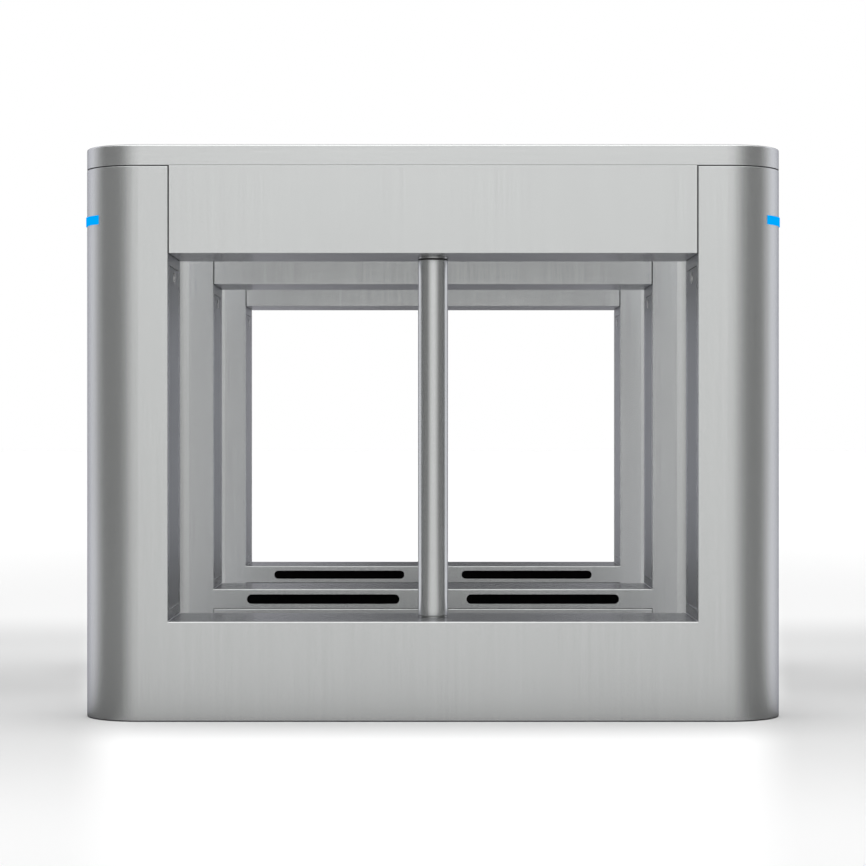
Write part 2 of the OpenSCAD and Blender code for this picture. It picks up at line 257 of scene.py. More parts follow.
def brushed_steel(name, tone, grain_axis, roughness, grain):
    """Steel with the fine parallel scratches of a belt grinder along one axis."""
    material, tree = new_finish(name)
    stretched = tree.place([GRAIN_STRETCH if axis == grain_axis else 1.0 for axis in "XYZ"])
    fine = tree.noise(stretched, FINE_SCALE, 2.0, 0.6)
    broad = tree.noise(stretched, BROAD_SCALE, 2.0, 0.6)
    cloud = tree.noise(tree.place(), CLOUD_SCALE, 2.0, 0.5)
    scratches = FINE_SHARE * fine + (1.0 - FINE_SHARE) * broad
    shade = 0.5 + grain * (scratches - 0.5) + CLOUD_SPREAD * (cloud - 0.5)
    colour = tree.blend(shade, rgba(tone, 1.0 - TONE_SPREAD), rgba(tone, 1.0 + TONE_SPREAD))
    tree.surface(
        Base_Color=colour,
        Metallic=METAL_SHARE,
        Roughness=roughness + GRAIN_ROUGHNESS * grain * (scratches - 0.5),
        Specular_Tint=EDGE_TINT,
        Specular_IOR_Level=0.0,
        Normal=tree.bump(scratches, GRAIN_RELIEF * grain, BUMP_DISTANCE),
    )
    return material


def moulded(name, tone, roughness, speck=900.0):
    """Fine-grained black or grey moulding or rubber."""
    material, tree = new_finish(name)
    grain = tree.noise(tree.place(), speck, 2.0, 0.6)
    tree.surface(
        Base_Color=tree.blend(grain, rgba(tone, 0.7), rgba(tone, 1.3)),
        Roughness=roughness + 0.2 * (grain - 0.5),
        Specular_IOR_Level=0.25,
        Normal=tree.bump(grain, 0.2, BUMP_DISTANCE),
    )
    return material


def turned_metal(name, tone, roughness):
    """Plated metal with the faint rings and stains of turning and handling."""
    material, tree = new_finish(name)
    stain = tree.noise(tree.place(), 160.0, 3.0, 0.6)
    tree.surface(
        Base_Color=tree.blend(stain, rgba(tone, 0.85), rgba(tone, 1.1)),
        Metallic=1.0,
        Roughness=roughness + 0.12 * (stain - 0.5),
    )
    return material


def dress(node, material):
    """Gives a node of the frame its finish."""
    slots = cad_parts[node].data.materials
    slots.clear()
    slots.append(material)


def dress_all(endings, material, pedestals=tuple(PEDESTALS)):
    """Gives the nodes of the pedestals whose names end so their finish."""
    for pedestal in pedestals:
        for ending in endings:
            name = f"{pedestal}_{ending}"
            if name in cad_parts:
                dress(name, material)


# ---------------------------------------------------------------- shapes


def link(obj):
    bpy.context.scene.collection.objects.link(obj)
    return obj


def finish_piece(name, bm, body, slot, *materials, crease=30.0):
    """Makes a piece of a bmesh, smooth where it is round, and lets it move with a body."""
    bmesh.ops.remove_doubles(bm, verts=bm.verts, dist=MERGE)
    bmesh.ops.recalc_face_normals(bm, faces=bm.faces)
    mesh = bpy.data.meshes.new(name)
    for face in bm.faces:
        face.smooth = True
    bm.to_mesh(mesh)
    bm.free()
    mesh.set_sharp_from_angle(angle=math.radians(crease))
    for material in materials:
        mesh.materials.append(material)
    piece = link(bpy.data.objects.new(name, mesh))
    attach(piece, body)
    return piece


def raise_faces(bm, faces, step):
    """Pulls flat faces into a closed solid."""
    moved = bmesh.ops.extrude_face_region(bm, geom=faces, use_keep_orig=True)["geom"]
    verts = [part for part in moved if isinstance(part, bmesh.types.BMVert)]
    bmesh.ops.translate(bm, verts=verts, vec=step)


def ring_of(bm, faces, width):
    """Keeps a rim of that width of a flat outline and takes its middle away."""
    rim = bmesh.ops.inset_region(
        bm, faces=faces, thickness=width, use_even_offset=True, use_boundary=True
    )["faces"]
    middle = [face for face in bm.faces if face not in set(rim)]
    bmesh.ops.delete(bm, geom=middle, context="FACES")
    return rim


def half_round(bm, plan, inset, inner_x, z):
    """Plan of the +X end of a pedestal from inner_x to its round end, set in from the skin."""
    end_x, y, r = plan
    bmesh.ops.create_circle(
        bm, cap_ends=True, segments=END_SEGMENTS, radius=r - inset,
        matrix=Matrix.Translation((end_x, y, z)),
    )
    bmesh.ops.bisect_plane(
        bm, geom=bm.verts[:] + bm.edges[:] + bm.faces[:], plane_co=(end_x, y, z),
        plane_no=(1.0, 0.0, 0.0), clear_inner=True,
    )
    bmesh.ops.remove_doubles(bm, verts=bm.verts, dist=MERGE)
    cut = [edge for edge in bm.edges if all(abs(v.co.x - end_x) < 10 * MERGE for v in edge.verts)]
    moved = bmesh.ops.extrude_edge_only(bm, edges=cut)["geom"]
    verts = [part for part in moved if isinstance(part, bmesh.types.BMVert)]
    bmesh.ops.translate(bm, verts=verts, vec=(inner_x - end_x, 0.0, 0.0))
    return bm.faces[:]


def rectangle(bm, centre, size, turn=Matrix.Identity(4)):
    """Flat rectangle in X and Y, then turned about its centre."""
    place = Matrix.Translation(centre) @ turn @ Matrix.Diagonal((*size, 1.0, 1.0))
    bmesh.ops.create_grid(bm, x_segments=1, y_segments=1, size=0.5, matrix=place)
    return bm.faces[:]


def mirrored(bm):
    """Adds the other end of a pedestal."""
    bmesh.ops.mirror(
        bm, geom=bm.verts[:] + bm.edges[:] + bm.faces[:], axis="X", merge_dist=MERGE
    )


def turned(bm, profile, place, segments=64):
    """Spins a closed profile of radii and heights about its axis, then puts it in place."""
    verts = [bm.verts.new((r, 0.0, h)) for r, h in profile]
    edges = [bm.edges.new((a, b)) for a, b in zip(verts, verts[1:] + verts[:1])]
    bmesh.ops.spin(
        bm, geom=verts + edges, cent=(0.0, 0.0, 0.0), axis=(0.0, 0.0, 1.0),
        angle=2 * math.pi, steps=segments, use_merge=True,
    )
    bmesh.ops.transform(bm, matrix=place, verts=bm.verts)


def round_ring(inner, outer, height, edge):
    """Profile of a turned ring with its two upper edges rounded off."""
    return [
        (inner, 0.0),
        (outer, 0.0),
        (outer, height - edge),
        (outer - 0.3 * edge, height - 0.3 * edge),
        (outer - edge, height),
        (inner + edge, height),
        (inner + 0.3 * edge, height - 0.3 * edge),
        (inner, height - edge),
    ]


def plan_of(pedestal):
    """Where the round end of a pedestal has its centre, and its radius."""
    low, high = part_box(f"{pedestal}_post_right")
    r = (high.y - low.y) / 2
    return high.x - r, (low.y + high.y) / 2, r


def jamb_of(pedestal):
    """X of the jamb at the +X side of the opening."""
    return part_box(f"{pedestal}_post_right")[0].x


def pole_axis(gate):
    """Where the axis of a pole stands, and the pole's radius."""
    low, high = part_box(f"{gate}_pole")
    return (low.x + high.x) / 2, (low.y + high.y) / 2, (high.x - low.x) / 2


def turn_about(axis, degrees):
    return Matrix.Rotation(math.radians(degrees), 4, axis)


# ---------------------------------------------------------------- settings


class SteelSettings(bpy.types.PropertyGroup):
    tone: FloatVectorProperty(
        name="Sheet tone",
        description="Colour of the brushed sheet",
        subtype="COLOR",
        default=(0.59, 0.597, 0.593),
        min=0.0,
        max=1.0,
    )
    # Painted shade: the jamb doors take a darker copy of the sheet's tone for the shade inside the
    # opening
    door_shade_tone: FloatVectorProperty(
        name="Door tone",
        description="Colour of the jamb doors",
        subtype="COLOR",
        default=(0.44, 0.445, 0.445),
        min=0.0,
        max=1.0,
    )
    roughness: FloatProperty(
        name="Sheet roughness",
        description="Mean roughness of the brushed sheet",
        subtype="FACTOR",
        default=0.25,
        min=0.05,
        max=0.8,
    )
    door_roughness: FloatProperty(
        name="Door roughness",
        description="Mean roughness of the jamb doors",
        subtype="FACTOR",
        default=0.35,
        min=0.05,
        max=0.8,
    )
    grain: FloatProperty(
        name="Grain",
        description="Strength of the brushed grain",
        default=1.0,
        min=0.0,
        max=4.0,
    )
    lane_grain: FloatProperty(
        name="Lane grain",
        description="Strength of the brushed grain on the pedestals behind the near one",
        default=1.8,
        min=0.0,
        max=10.0,
    )
    beam_grain: FloatProperty(
        name="Lane beam grain",
        description="Strength of the brushed grain on the beams behind the near one",
        default=2.2,
        min=0.0,
        max=10.0,
    )
    pole_roughness: FloatProperty(
        name="Pole roughness",
        description="Mean roughness of the satin poles",
        subtype="FACTOR",
        default=0.18,
        min=0.05,
        max=0.8,
    )


class TrimSettings(bpy.types.PropertyGroup):
    # Painted shade: the black of the strips in the seams and under the foot stands for the shade
    # in those gaps
    rubber: FloatVectorProperty(
        name="Rubber",
        description="Colour of the gaskets and seals",
        subtype="COLOR",
        default=(0.014, 0.014, 0.016),
        min=0.0,
        max=1.0,
    )
    # Painted highlight: the pale beads at the jambs stand for the light caught by the edges there
    sealant: FloatVectorProperty(
        name="Sealant",
        description="Colour of the beads of sealant at the jambs",
        subtype="COLOR",
        default=(0.42, 0.42, 0.44),
        min=0.0,
        max=1.0,
    )
    bead_w: FloatProperty(
        name="Bead width",
        description="Width of the beads of sealant at the jambs",
        unit="LENGTH",
        default=1.4 * MM,
        min=0.8 * MM,
        max=3.0 * MM,
    )
    recess: FloatProperty(
        name="Gasket recess",
        description="How far the gaskets lie behind the sheet",
        unit="LENGTH",
        default=0.8 * MM,
        min=0.2 * MM,
        max=1.5 * MM,
    )
    collar_h: FloatProperty(
        name="Collar height",
        description="Height of the steel collar over each pole",
        unit="LENGTH",
        default=2.8 * MM,
        min=1.0 * MM,
        max=3.0 * MM,
    )
    foot_ring_h: FloatProperty(
        name="Foot ring height",
        description="Height of the steel ring on the sill under each pole",
        unit="LENGTH",
        default=3.0 * MM,
        min=1.0 * MM,
        max=3.2 * MM,
    )
    # Painted shade: the black seal on the head of each pole stands for the shade in the gap under
    # the beam
    head_shade_seal_h: FloatProperty(
        name="Head seal height",
        description="Height of the black seal on the head of each pole",
        unit="LENGTH",
        default=1.8 * MM,
        min=1.0 * MM,
        max=1.9 * MM,
    )
    bezel_w: FloatProperty(
        name="Lock bezel width",
        description="Width of the ring round each lock",
        unit="LENGTH",
        default=0.8 * MM,
        min=0.5 * MM,
        max=3.0 * MM,
    )


class WingSettings(bpy.types.PropertyGroup):
    tint: FloatVectorProperty(
        name="Wing tint",
        description="Colour of the clear panels",
        subtype="COLOR",
        default=(0.93, 0.975, 0.975),
        min=0.0,
        max=1.0,
    )
    edge: FloatProperty(
        name="Wing edge",
        description="Width of the polished bevel round a wing",
        unit="LENGTH",
        default=0.8 * MM,
        min=0.2 * MM,
        max=2.0 * MM,
    )


class LightSettings(bpy.types.PropertyGroup):
    colour: FloatVectorProperty(
        name="Light colour",
        description="Colour of the light bands",
        subtype="COLOR",
        default=(0.0, 0.395, 0.985),
        min=0.0,
        max=1.0,
    )


class StageSettings(bpy.types.PropertyGroup):
    camera_distance: FloatProperty(
        name="Camera distance",
        description="Distance from the camera to the face of the near pedestal",
        unit="LENGTH",
        default=4.08,
        min=1.0,
        max=20.0,
    )
    camera_height: FloatProperty(
        name="Camera height",
        description="Height of the camera above the floor",
        unit="LENGTH",
        default=0.49,
        min=0.1,
        max=3.0,
    )
    lens: FloatProperty(
        name="Lens",
        description="Focal length in millimetres on a 36 mm sensor",
        default=100.0,
        min=20.0,
        max=300.0,
    )
    tent_radius: FloatProperty(
        name="Tent radius",
        description="Radius of the light tent round the row",
        unit="LENGTH",
        default=9.0,
        min=6.0,
        max=20.0,
    )


# ---------------------------------------------------------------- operators


class TURNSTILE_OT_sheet(bpy.types.Operator):
    """Finish the folded sheet housings"""

    bl_idname = "turnstile.sheet"
    bl_label = "Sheet housings"

    def execute(self, context):
        steel = context.scene.turnstile_steel
        outer = brushed_steel("brushed_steel", steel.tone, "Z", steel.roughness, steel.grain)
        inner = brushed_steel(
            "brushed_steel_lane", steel.tone, "Z", steel.roughness, steel.lane_grain
        )
        dress_all(HOUSINGS, outer, ("near",))
        dress_all(HOUSINGS, inner, ("middle", "far"))
        # Painted light: the beams behind the near one are a brighter copy of the sheet
        bright = [LANE_BEAM_PAINTED_LIGHT * level for level in steel.tone]
        beam = brushed_steel(
            "brushed_steel_lane_beam_painted_light", bright, "Z", steel.roughness, steel.beam_grain
        )
        dress_all(("beam",), beam, ("middle", "far"))
        level = brushed_steel("brushed_steel_lid", steel.tone, "X", steel.roughness, steel.grain)
        dress_all(("lid",), level)
        # Painted shade: the doors in the jambs are dressed in the darker door tone for the shade
        # inside the opening
        door = brushed_steel(
            "brushed_steel_door_painted_shade", steel.door_shade_tone, "Z", steel.door_roughness, steel.grain
        )
        dress_all(("jamb_doors",), door)
        return {"FINISHED"}


class TURNSTILE_OT_poles(bpy.types.Operator):
    """Finish the swing poles, with a collar over and a ring under each, darker than the sheet as a
    painted reflection of the pole, and a black seal on the head of each as painted shade in the
    gap under the beam
    """

    bl_idname = "turnstile.poles"
    bl_label = "Swing poles"

    def execute(self, context):
        steel = context.scene.turnstile_steel
        trim = context.scene.turnstile_trim
        satin = brushed_steel(
            "satin_steel_pole", steel.tone, "Z", steel.pole_roughness, 0.5 * steel.grain
        )
        # Painted reflection: the collar and the foot ring are a darker copy of the sheet, like the
        # pole's mirror image in the soffit and the sill
        dim = [RING_PAINTED_REFLECTION * level for level in steel.tone]
        shaded = brushed_steel("steel_ring_painted_reflection", dim, "Z", steel.pole_roughness, 0.0)
        # Painted shade: a black seal on the head of each pole for the shade in the gap under the
        # beam
        rubber = moulded("black_head_shade_seal", (0.008, 0.008, 0.009), 0.6)
        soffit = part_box("near_beam")[0].z
        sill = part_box("near_plinth")[1].z
        for gate, (body, _) in GATES.items():
            dress(f"{gate}_pole", satin)
            x, y, r = pole_axis(gate)
            under_beam = Matrix.Translation((x, y, soffit)) @ turn_about("X", 180.0)
            on_sill = Matrix.Translation((x, y, sill))
            on_head = Matrix.Translation((x, y, soffit - HEAD_GAP))
            for name, bore, height, edge, place, carrier, slot, material in (
                ("collar", COLLAR_BORE, trim.collar_h, COLLAR_EDGE, under_beam,
                 FIXED_BODY, "pole_steel", shaded),
                ("foot_ring", FOOT_BORE, trim.foot_ring_h, RING_EDGE, on_sill,
                 FIXED_BODY, "pole_steel", shaded),
                ("head_shade_seal", COLLAR_BORE, trim.head_shade_seal_h, RING_EDGE, on_head,
                 body, "bearing", rubber),
            ):
                bm = bmesh.new()
                turned(bm, round_ring(bore / 2, r, height, edge), place, RING_SEGMENTS)
                finish_piece(f"{gate}_{name}", bm, carrier, slot, material)
        return {"FINISHED"}


class TURNSTILE_OT_wings(bpy.types.Operator):
    """Make the clear wings with polished edges and the beads that seal them in the poles"""

    bl_idname = "turnstile.wings"
    bl_label = "Wings"

    def execute(self, context):
        wing = context.scene.turnstile_wing
        clear = self.panel("clear_wing", wing.tint, 0.0)
        rim = self.panel("wing_edge", [0.8 * wing.tint[0], *wing.tint[1:]], 0.12)
        bead = moulded("black_glazing_bead", (0.012, 0.012, 0.013), 0.5)
        for gate, (body, side) in GATES.items():
            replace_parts(self.make_wing(gate, body, wing.edge, clear, rim), f"{gate}_wing")
            self.make_beads(gate, body, side, bead)
        return {"FINISHED"}

    @staticmethod
    def panel(name, tint, roughness):
        """Clear cast sheet, with a trace of haze."""
        material, tree = new_finish(name)
        haze = tree.noise(tree.place(), 30.0)
        tree.surface(
            Base_Color=tree.blend(haze, rgba(tint, 0.99), rgba(tint)),
            Roughness=roughness + 0.02 * haze,
            IOR=1.49,
            Transmission_Weight=1.0,
        )
        return material

    @staticmethod
    def make_wing(gate, body, edge, clear, rim):
        bm = bmesh.new()
        bm.from_mesh(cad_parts[f"{gate}_wing"].data)
        bmesh.ops.remove_doubles(bm, verts=bm.verts, dist=0.01 * MM)
        bmesh.ops.dissolve_limit(
            bm, angle_limit=math.radians(1.0), verts=bm.verts, edges=bm.edges
        )
        flat = [face for face in bm.faces if abs(face.normal.x) > 0.9]
        rims = {line for face in flat for line in face.edges}
        bmesh.ops.bevel(
            bm, geom=list(rims), offset=edge, affect="EDGES", segments=2, profile=0.5, material=-1
        )
        for face in bm.faces:
            face.material_index = 0 if abs(face.normal.x) > 0.9 else 1
        name = f"{gate}_clear_wing"
        return finish_piece(name, bm, body, "wing_clear", clear, rim, crease=15.0)

    @staticmethod
    def make_beads(gate, body, side, material):
        low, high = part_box(f"{gate}_wing")
        x, y, r = pole_axis(gate)
        face = (high.x - low.x) / 2
        width = GLAZING_BEAD_W
        outline = [(face, r - 0.6 * MM), (face + width, math.sqrt(r * r - (face + width) ** 2))]
        outline += [(face + 0.8 * width, r + 0.1 * width), (face + 0.3 * width, r + 0.6 * width)]
        outline += [(face, r + 0.7 * width)]
        bm = bmesh.new()
        for hand in (-1, 1):
            corners = [bm.verts.new((x + hand * u, y + side * v, low.z)) for u, v in outline]
            raise_faces(bm, [bm.faces.new(corners)], (0.0, 0.0, high.z - low.z))
        finish_piece(f"{gate}_wing_beads", bm, body, "bearing", material)


class TURNSTILE_OT_signals(bpy.types.Operator):
    """Finish the light bands and the sensor windows"""

    bl_idname = "turnstile.signals"
    bl_label = "Light bands and sensor windows"

    def execute(self, context):
        light = context.scene.turnstile_light
        low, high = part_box("near_light_bands")
        material, tree = new_finish("blue_light_guide")
        middle, half = (low.z + high.z) / 2, (high.z - low.z) / 2
        to_edge = (abs(tree.axis("Z") - middle) / half) ** 4.0
        tree.surface(
            Base_Color=(0.0, 0.01, 0.03, 1.0),
            Roughness=0.3 + 0.1 * tree.noise(tree.place(), 400.0),
            Specular_IOR_Level=0.0,
            Emission_Color=tree.blend(to_edge, rgba(light.colour), rgba(light.colour, 0.85)),
            Emission_Strength=1.0,
        )
        dress_all(("light_bands",), material)
        dark, tree = new_finish("dark_sensor_window")
        smear = tree.noise(tree.place(), 60.0, 3.0)
        tree.surface(
            Base_Color=tree.blend(
                smear, (0.0006, 0.0006, 0.0008, 1.0), (0.0012, 0.001, 0.001, 1.0)
            ),
            Roughness=0.22 + 0.1 * smear,
            Specular_IOR_Level=0.01,
        )
        dress_all(("sensor_windows",), dark)
        return {"FINISHED"}


class TURNSTILE_OT_fittings(bpy.types.Operator):
    """Finish the locks, bearings and floor plates, and set a bezel round each lock"""

    bl_idname = "turnstile.fittings"
    bl_label = "Locks, bearings and floor plates"

    def execute(self, context):
        trim = context.scene.turnstile_trim
        nickel = turned_metal("nickel_lock", (0.58, 0.58, 0.58), 0.25)
        dress_all(("door_locks",), nickel)
        dress_all(("bearings",), moulded("black_bearing", (0.012, 0.012, 0.013), 0.45))
        dress_all(("floor_plates",), turned_metal("zinc_plate", (0.42, 0.43, 0.45), 0.45))
        for pedestal in PEDESTALS:
            low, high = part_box(f"{pedestal}_door_locks")
            r = (high.y - low.y) / 2
            bm = bmesh.new()
            profile = round_ring(r + 0.1 * MM, r + trim.bezel_w, BEZEL_H, BEZEL_EDGE)
            place = Matrix.Translation((jamb_of(pedestal), (low.y + high.y) / 2, low.z + r))
            turned(bm, profile, place @ turn_about("Y", -90.0))
            mirrored(bm)
            finish_piece(f"{pedestal}_lock_bezels", bm, FIXED_BODY, "lock", nickel)
        return {"FINISHED"}


class TURNSTILE_OT_seam_shades(bpy.types.Operator):
    """Lay dark strips in the seams of the housings and under their feet, as painted shade for
    those gaps
    """

    bl_idname = "turnstile.gaskets"
    bl_label = "Gaskets and foot seals"

    def execute(self, context):
        trim = context.scene.turnstile_trim
        # Painted shade: black strips for the shade in the seams and under the foot
        rubber = moulded("black_seam_painted_shade", trim.rubber, 0.65)
        # Painted highlight: pale beads for the light caught at the foot of the doors and jambs
        sealant = moulded("pale_bead_painted_highlight", trim.sealant, 0.6)
        for pedestal, sides in PEDESTALS.items():
            self.lid_seam_shade(pedestal, trim.recess, rubber)
            self.beam_seam_shades(pedestal, trim.recess, rubber)
            self.door_seam_shades(pedestal, trim.recess, rubber)
            self.jamb_highlight_beads(pedestal, trim.bead_w, sealant)
            self.cover_seam_shades(pedestal, sides, trim.recess, rubber)
            self.foot_seam_shade(pedestal, trim.recess, rubber)
        return {"FINISHED"}

    @staticmethod
    def lid_seam_shade(pedestal, recess, material):
        """Strip round each end, between the top of the post and the lid."""
        lid_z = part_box(f"{pedestal}_lid")[0].z
        inner_x = jamb_of(pedestal) + recess
        bm = bmesh.new()
        outline = half_round(bm, plan_of(pedestal), recess, inner_x, lid_z - LID_SEAM)
        raise_faces(bm, ring_of(bm, outline, SHEET - recess), (0.0, 0.0, LID_SEAM))
        mirrored(bm)
        finish_piece(f"{pedestal}_lid_seam_shades", bm, FIXED_BODY, "bearing", material)

    @staticmethod
    def beam_seam_shades(pedestal, recess, material):
        """Frame in the seam at each end of the beam."""
        low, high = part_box(f"{pedestal}_beam")
        centre = (high.x - BEAM_SEAM, (low.y + high.y) / 2, (low.z + high.z) / 2)
        size = (high.z - low.z - 2 * recess, high.y - low.y - 2 * recess)
        bm = bmesh.new()
        outline = rectangle(bm, centre, size, turn_about("Y", 90.0))
        raise_faces(bm, ring_of(bm, outline, 2 * SHEET - recess), (BEAM_SEAM, 0.0, 0.0))
        mirrored(bm)
        finish_piece(f"{pedestal}_beam_seam_shades", bm, FIXED_BODY, "bearing", material)

    @staticmethod
    def door_seam_shades(pedestal, recess, material):
        """Frame round the door in each jamb."""
        low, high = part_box(f"{pedestal}_jamb_doors")
        centre = (jamb_of(pedestal) + recess, (low.y + high.y) / 2, (low.z + high.z) / 2)
        size = (high.z - low.z + 2 * DOOR_SEAM, high.y - low.y + 2 * DOOR_SEAM)
        bm = bmesh.new()
        outline = rectangle(bm, centre, size, turn_about("Y", 90.0))
        raise_faces(bm, ring_of(bm, outline, DOOR_SEAM), (SHEET - recess, 0.0, 0.0))
        mirrored(bm)
        finish_piece(f"{pedestal}_door_seam_shades", bm, FIXED_BODY, "bearing", material)

    @staticmethod
    def jamb_highlight_beads(pedestal, width, material):
        """Pale bead along the foot of each door and along the foot of each jamb, a painted
        highlight on those edges.
        """
        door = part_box(f"{pedestal}_jamb_doors")
        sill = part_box(f"{pedestal}_plinth")
        bm = bmesh.new()
        for z, low_y, high_y in (
            (door[0].z - DOOR_SEAM / 2, door[0].y, door[1].y),
            (sill[1].z, sill[0].y + SHEET, sill[1].y - SHEET),
        ):
            place = Matrix.Translation((jamb_of(pedestal), low_y, z)) @ turn_about("X", 90.0)
            rod = bmesh.ops.create_circle(
                bm, cap_ends=True, segments=BEAD_SEGMENTS, radius=width / 2, matrix=place
            )
            corners = set(rod["verts"])
            end = [face for face in bm.faces if corners.issuperset(face.verts)]
            raise_faces(bm, end, (0.0, high_y - low_y, 0.0))
        mirrored(bm)
        finish_piece(f"{pedestal}_jamb_highlight_beads", bm, FIXED_BODY, "bearing", material)

    @staticmethod
    def cover_seam_shades(pedestal, sides, recess, material):
        """Strip along the top and the ends of each lower cover."""
        low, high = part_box(f"{pedestal}_plinth_cover{'s' if len(sides) > 1 else ''}")
        half_l = high.x + COVER_SEAM
        _, y, r = plan_of(pedestal)
        bm = bmesh.new()
        for side in sides:
            part = bmesh.new()
            centre = (0.0, y + side * (r - recess), (low.z + high.z + COVER_SEAM) / 2)
            size = (2 * half_l, high.z + COVER_SEAM - low.z)
            outline = rectangle(part, centre, size, turn_about("X", 90.0))
            rim = ring_of(part, outline, COVER_SEAM)
            foot = [face for face in rim if face.calc_center_median().z < low.z + COVER_SEAM]
            bmesh.ops.delete(part, geom=foot, context="FACES")
            raise_faces(part, part.faces[:], (0.0, -side * (SHEET - recess), 0.0))
            scrap = bpy.data.meshes.new("scrap")
            part.to_mesh(scrap)
            bm.from_mesh(scrap)
            bpy.data.meshes.remove(scrap)
            part.free()
        finish_piece(f"{pedestal}_cover_seam_shades", bm, FIXED_BODY, "bearing", material)

    @staticmethod
    def foot_seam_shade(pedestal, recess, material):
        """Strip round the whole foot, down to the floor."""
        bm = bmesh.new()
        half_round(bm, plan_of(pedestal), recess, 0.0, 0.0)
        mirrored(bm)
        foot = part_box(f"{pedestal}_plinth")[0].z
        raise_faces(bm, ring_of(bm, bm.faces[:], SHEET - recess), (0.0, 0.0, foot))
        finish_piece(f"{pedestal}_foot_seam_shade", bm, FIXED_BODY, "bearing", material)


class TURNSTILE_OT_stage(bpy.types.Operator):
    """Set up the floor, the light tent, the lamps and the camera"""

    bl_idname = "turnstile.stage"
    bl_label = "Stage"

    def execute(self, context):
        settings = context.scene.turnstile_stage
        make_floor()
        make_tent(settings.tent_radius)
        make_lamps()
        make_world()
        make_camera(settings)
        context.scene.view_settings.view_transform = "Standard"
        return {"FINISHED"}


# ---------------------------------------------------------------- stage

# Brightness that the steel finds in the cloth in front, then in each cloth from there over the
# side to the back, with the shares of half a turn between which it takes over
FRONT_LEVEL = 0.92
TENT_CLOTHS = {
    "dark_side": (0.17, 0.03, 0.25),
    "bright_rear": (1.14, 0.41, 0.69),
    "rear_edge": (0.95, 0.8, 0.9),
    "dark_back": (0.18, 0.95, 1.0),
}
# How much nearer to the front the cloths lie on the right than on the left: in front, then at
# the side and at the back, with the shares of half a turn between which it changes
FRONT_SHIFT = -0.02
RIGHT_SHIFTS = {
    "side": (0.035, 0.3, 0.45),
    "back": (0.009, 0.75, 0.9),
}
# X between which the left goes over into the right
LEFT_TO_RIGHT = (-0.5, 0.5)
# Colours of the cloth in front and behind
FRONT_CLOTH = (0.995, 1.003, 1.0, 1.0)
REAR_CLOTH = (0.985, 0.99, 1.045, 1.0)
# Brightness of the key light high up in front, which goes on over the top, and of the wall
# high up behind and the top there
TOP_LEVEL = 1.95
REAR_LEVEL = 0.16
REAR_TOP_LEVEL = 0.4
# Shares of half a turn, or heights, between which one part of the tent goes over into the next
CLOTH_TURN = (0.45, 0.6)
HIGH_WALL_TURN = (0.8, 0.92)
HIGH_WALL_Z = (0.9, 1.9)
KEY_TURN = (0.1, 0.35)
KEY_Z = (3.0, 4.2)
ROOF_Z = (7.0, 8.8)
# Brightness of the wall at the floor, and what it gains with each metre
WALL_FOOT = 0.93
WALL_RISE = 0.06
# How far the rim of the tent reaches under the floor
TENT_SINK = 0.1
TENT_SEGMENTS = 96
# Tone of the floor in front of the row, then the painted shadow of the row on each stretch beside
# and behind it, with the Y between which it takes over
FRONT_TONE = 0.93
PAINTED_FLOOR_SHADOWS = {
    "near_pedestal": (0.715, -2.2, -0.92),
    "first_lane": (0.59, -0.96, -0.32),
    "middle_pedestal": (0.74, -0.44, 0.46),
    "behind_row": (0.91, 0.56, 1.52),
    "far_floor": (1.0, 1.6, 6.8),
}
FLOOR_GREY = 0.9
FLOOR_HALF = 60.0
# Where the shade beside the row goes over into the plain floor
FLOOR_FADE = (1.25, 2.4)
# Where the shade begins and is full beyond the centre of a round end, in radii of that end
SHADE_START = (0.2, 1.2)
# How much the shade comes closer in with each metre towards the front
SHADE_SLOPE = 0.14
# Painted contact shadow on the floor along the near pedestal, and how far from it that ends
PAINTED_CONTACT_SHADOW = 0.83
CONTACT_REACH = 0.32
# What the steel finds on the floor beyond the tent's own level, everywhere and behind
FLOOR_LIFT = 0.07
REAR_FLOOR_LIFT = 0.14
# Share of it at a pedestal, what it gains away from there, and how soon
FLOOR_DIM = 0.3
FLOOR_GAIN = 0.58
FLOOR_REACH = 0.3


def rays(tree, *kinds):
    """1 for rays of these kinds."""
    path = tree.tree.nodes.new("ShaderNodeLightPath")
    return sum(Socket(tree, path.outputs[kind]) for kind in kinds).least(1.0)


def mirrored_rays(tree):
    """1 for rays that a bright surface has turned, also behind a clear wing."""
    return rays(tree, "Glossy Depth") * (1.0 - rays(tree, "Is Diffuse Ray"))


def one_after_another(tree, place, first, later):
    """A level that starts as the first and goes over into each later one in its place."""
    for level, low, high in later.values():
        first = tree.mix(place.step(low, high), first, level)
    return first


def tent_level(tree, x, y):
    """Share of half a turn towards a point, and the brightness and colour of the cloth there."""
    turn = abs(x).turn_from(-y)
    shift = one_after_another(tree, turn, FRONT_SHIFT, RIGHT_SHIFTS)
    place = turn + x.step(*LEFT_TO_RIGHT) * shift
    level = one_after_another(tree, place, FRONT_LEVEL, TENT_CLOTHS)
    return turn, level, tree.blend(turn.step(*CLOTH_TURN), FRONT_CLOTH, REAR_CLOTH)


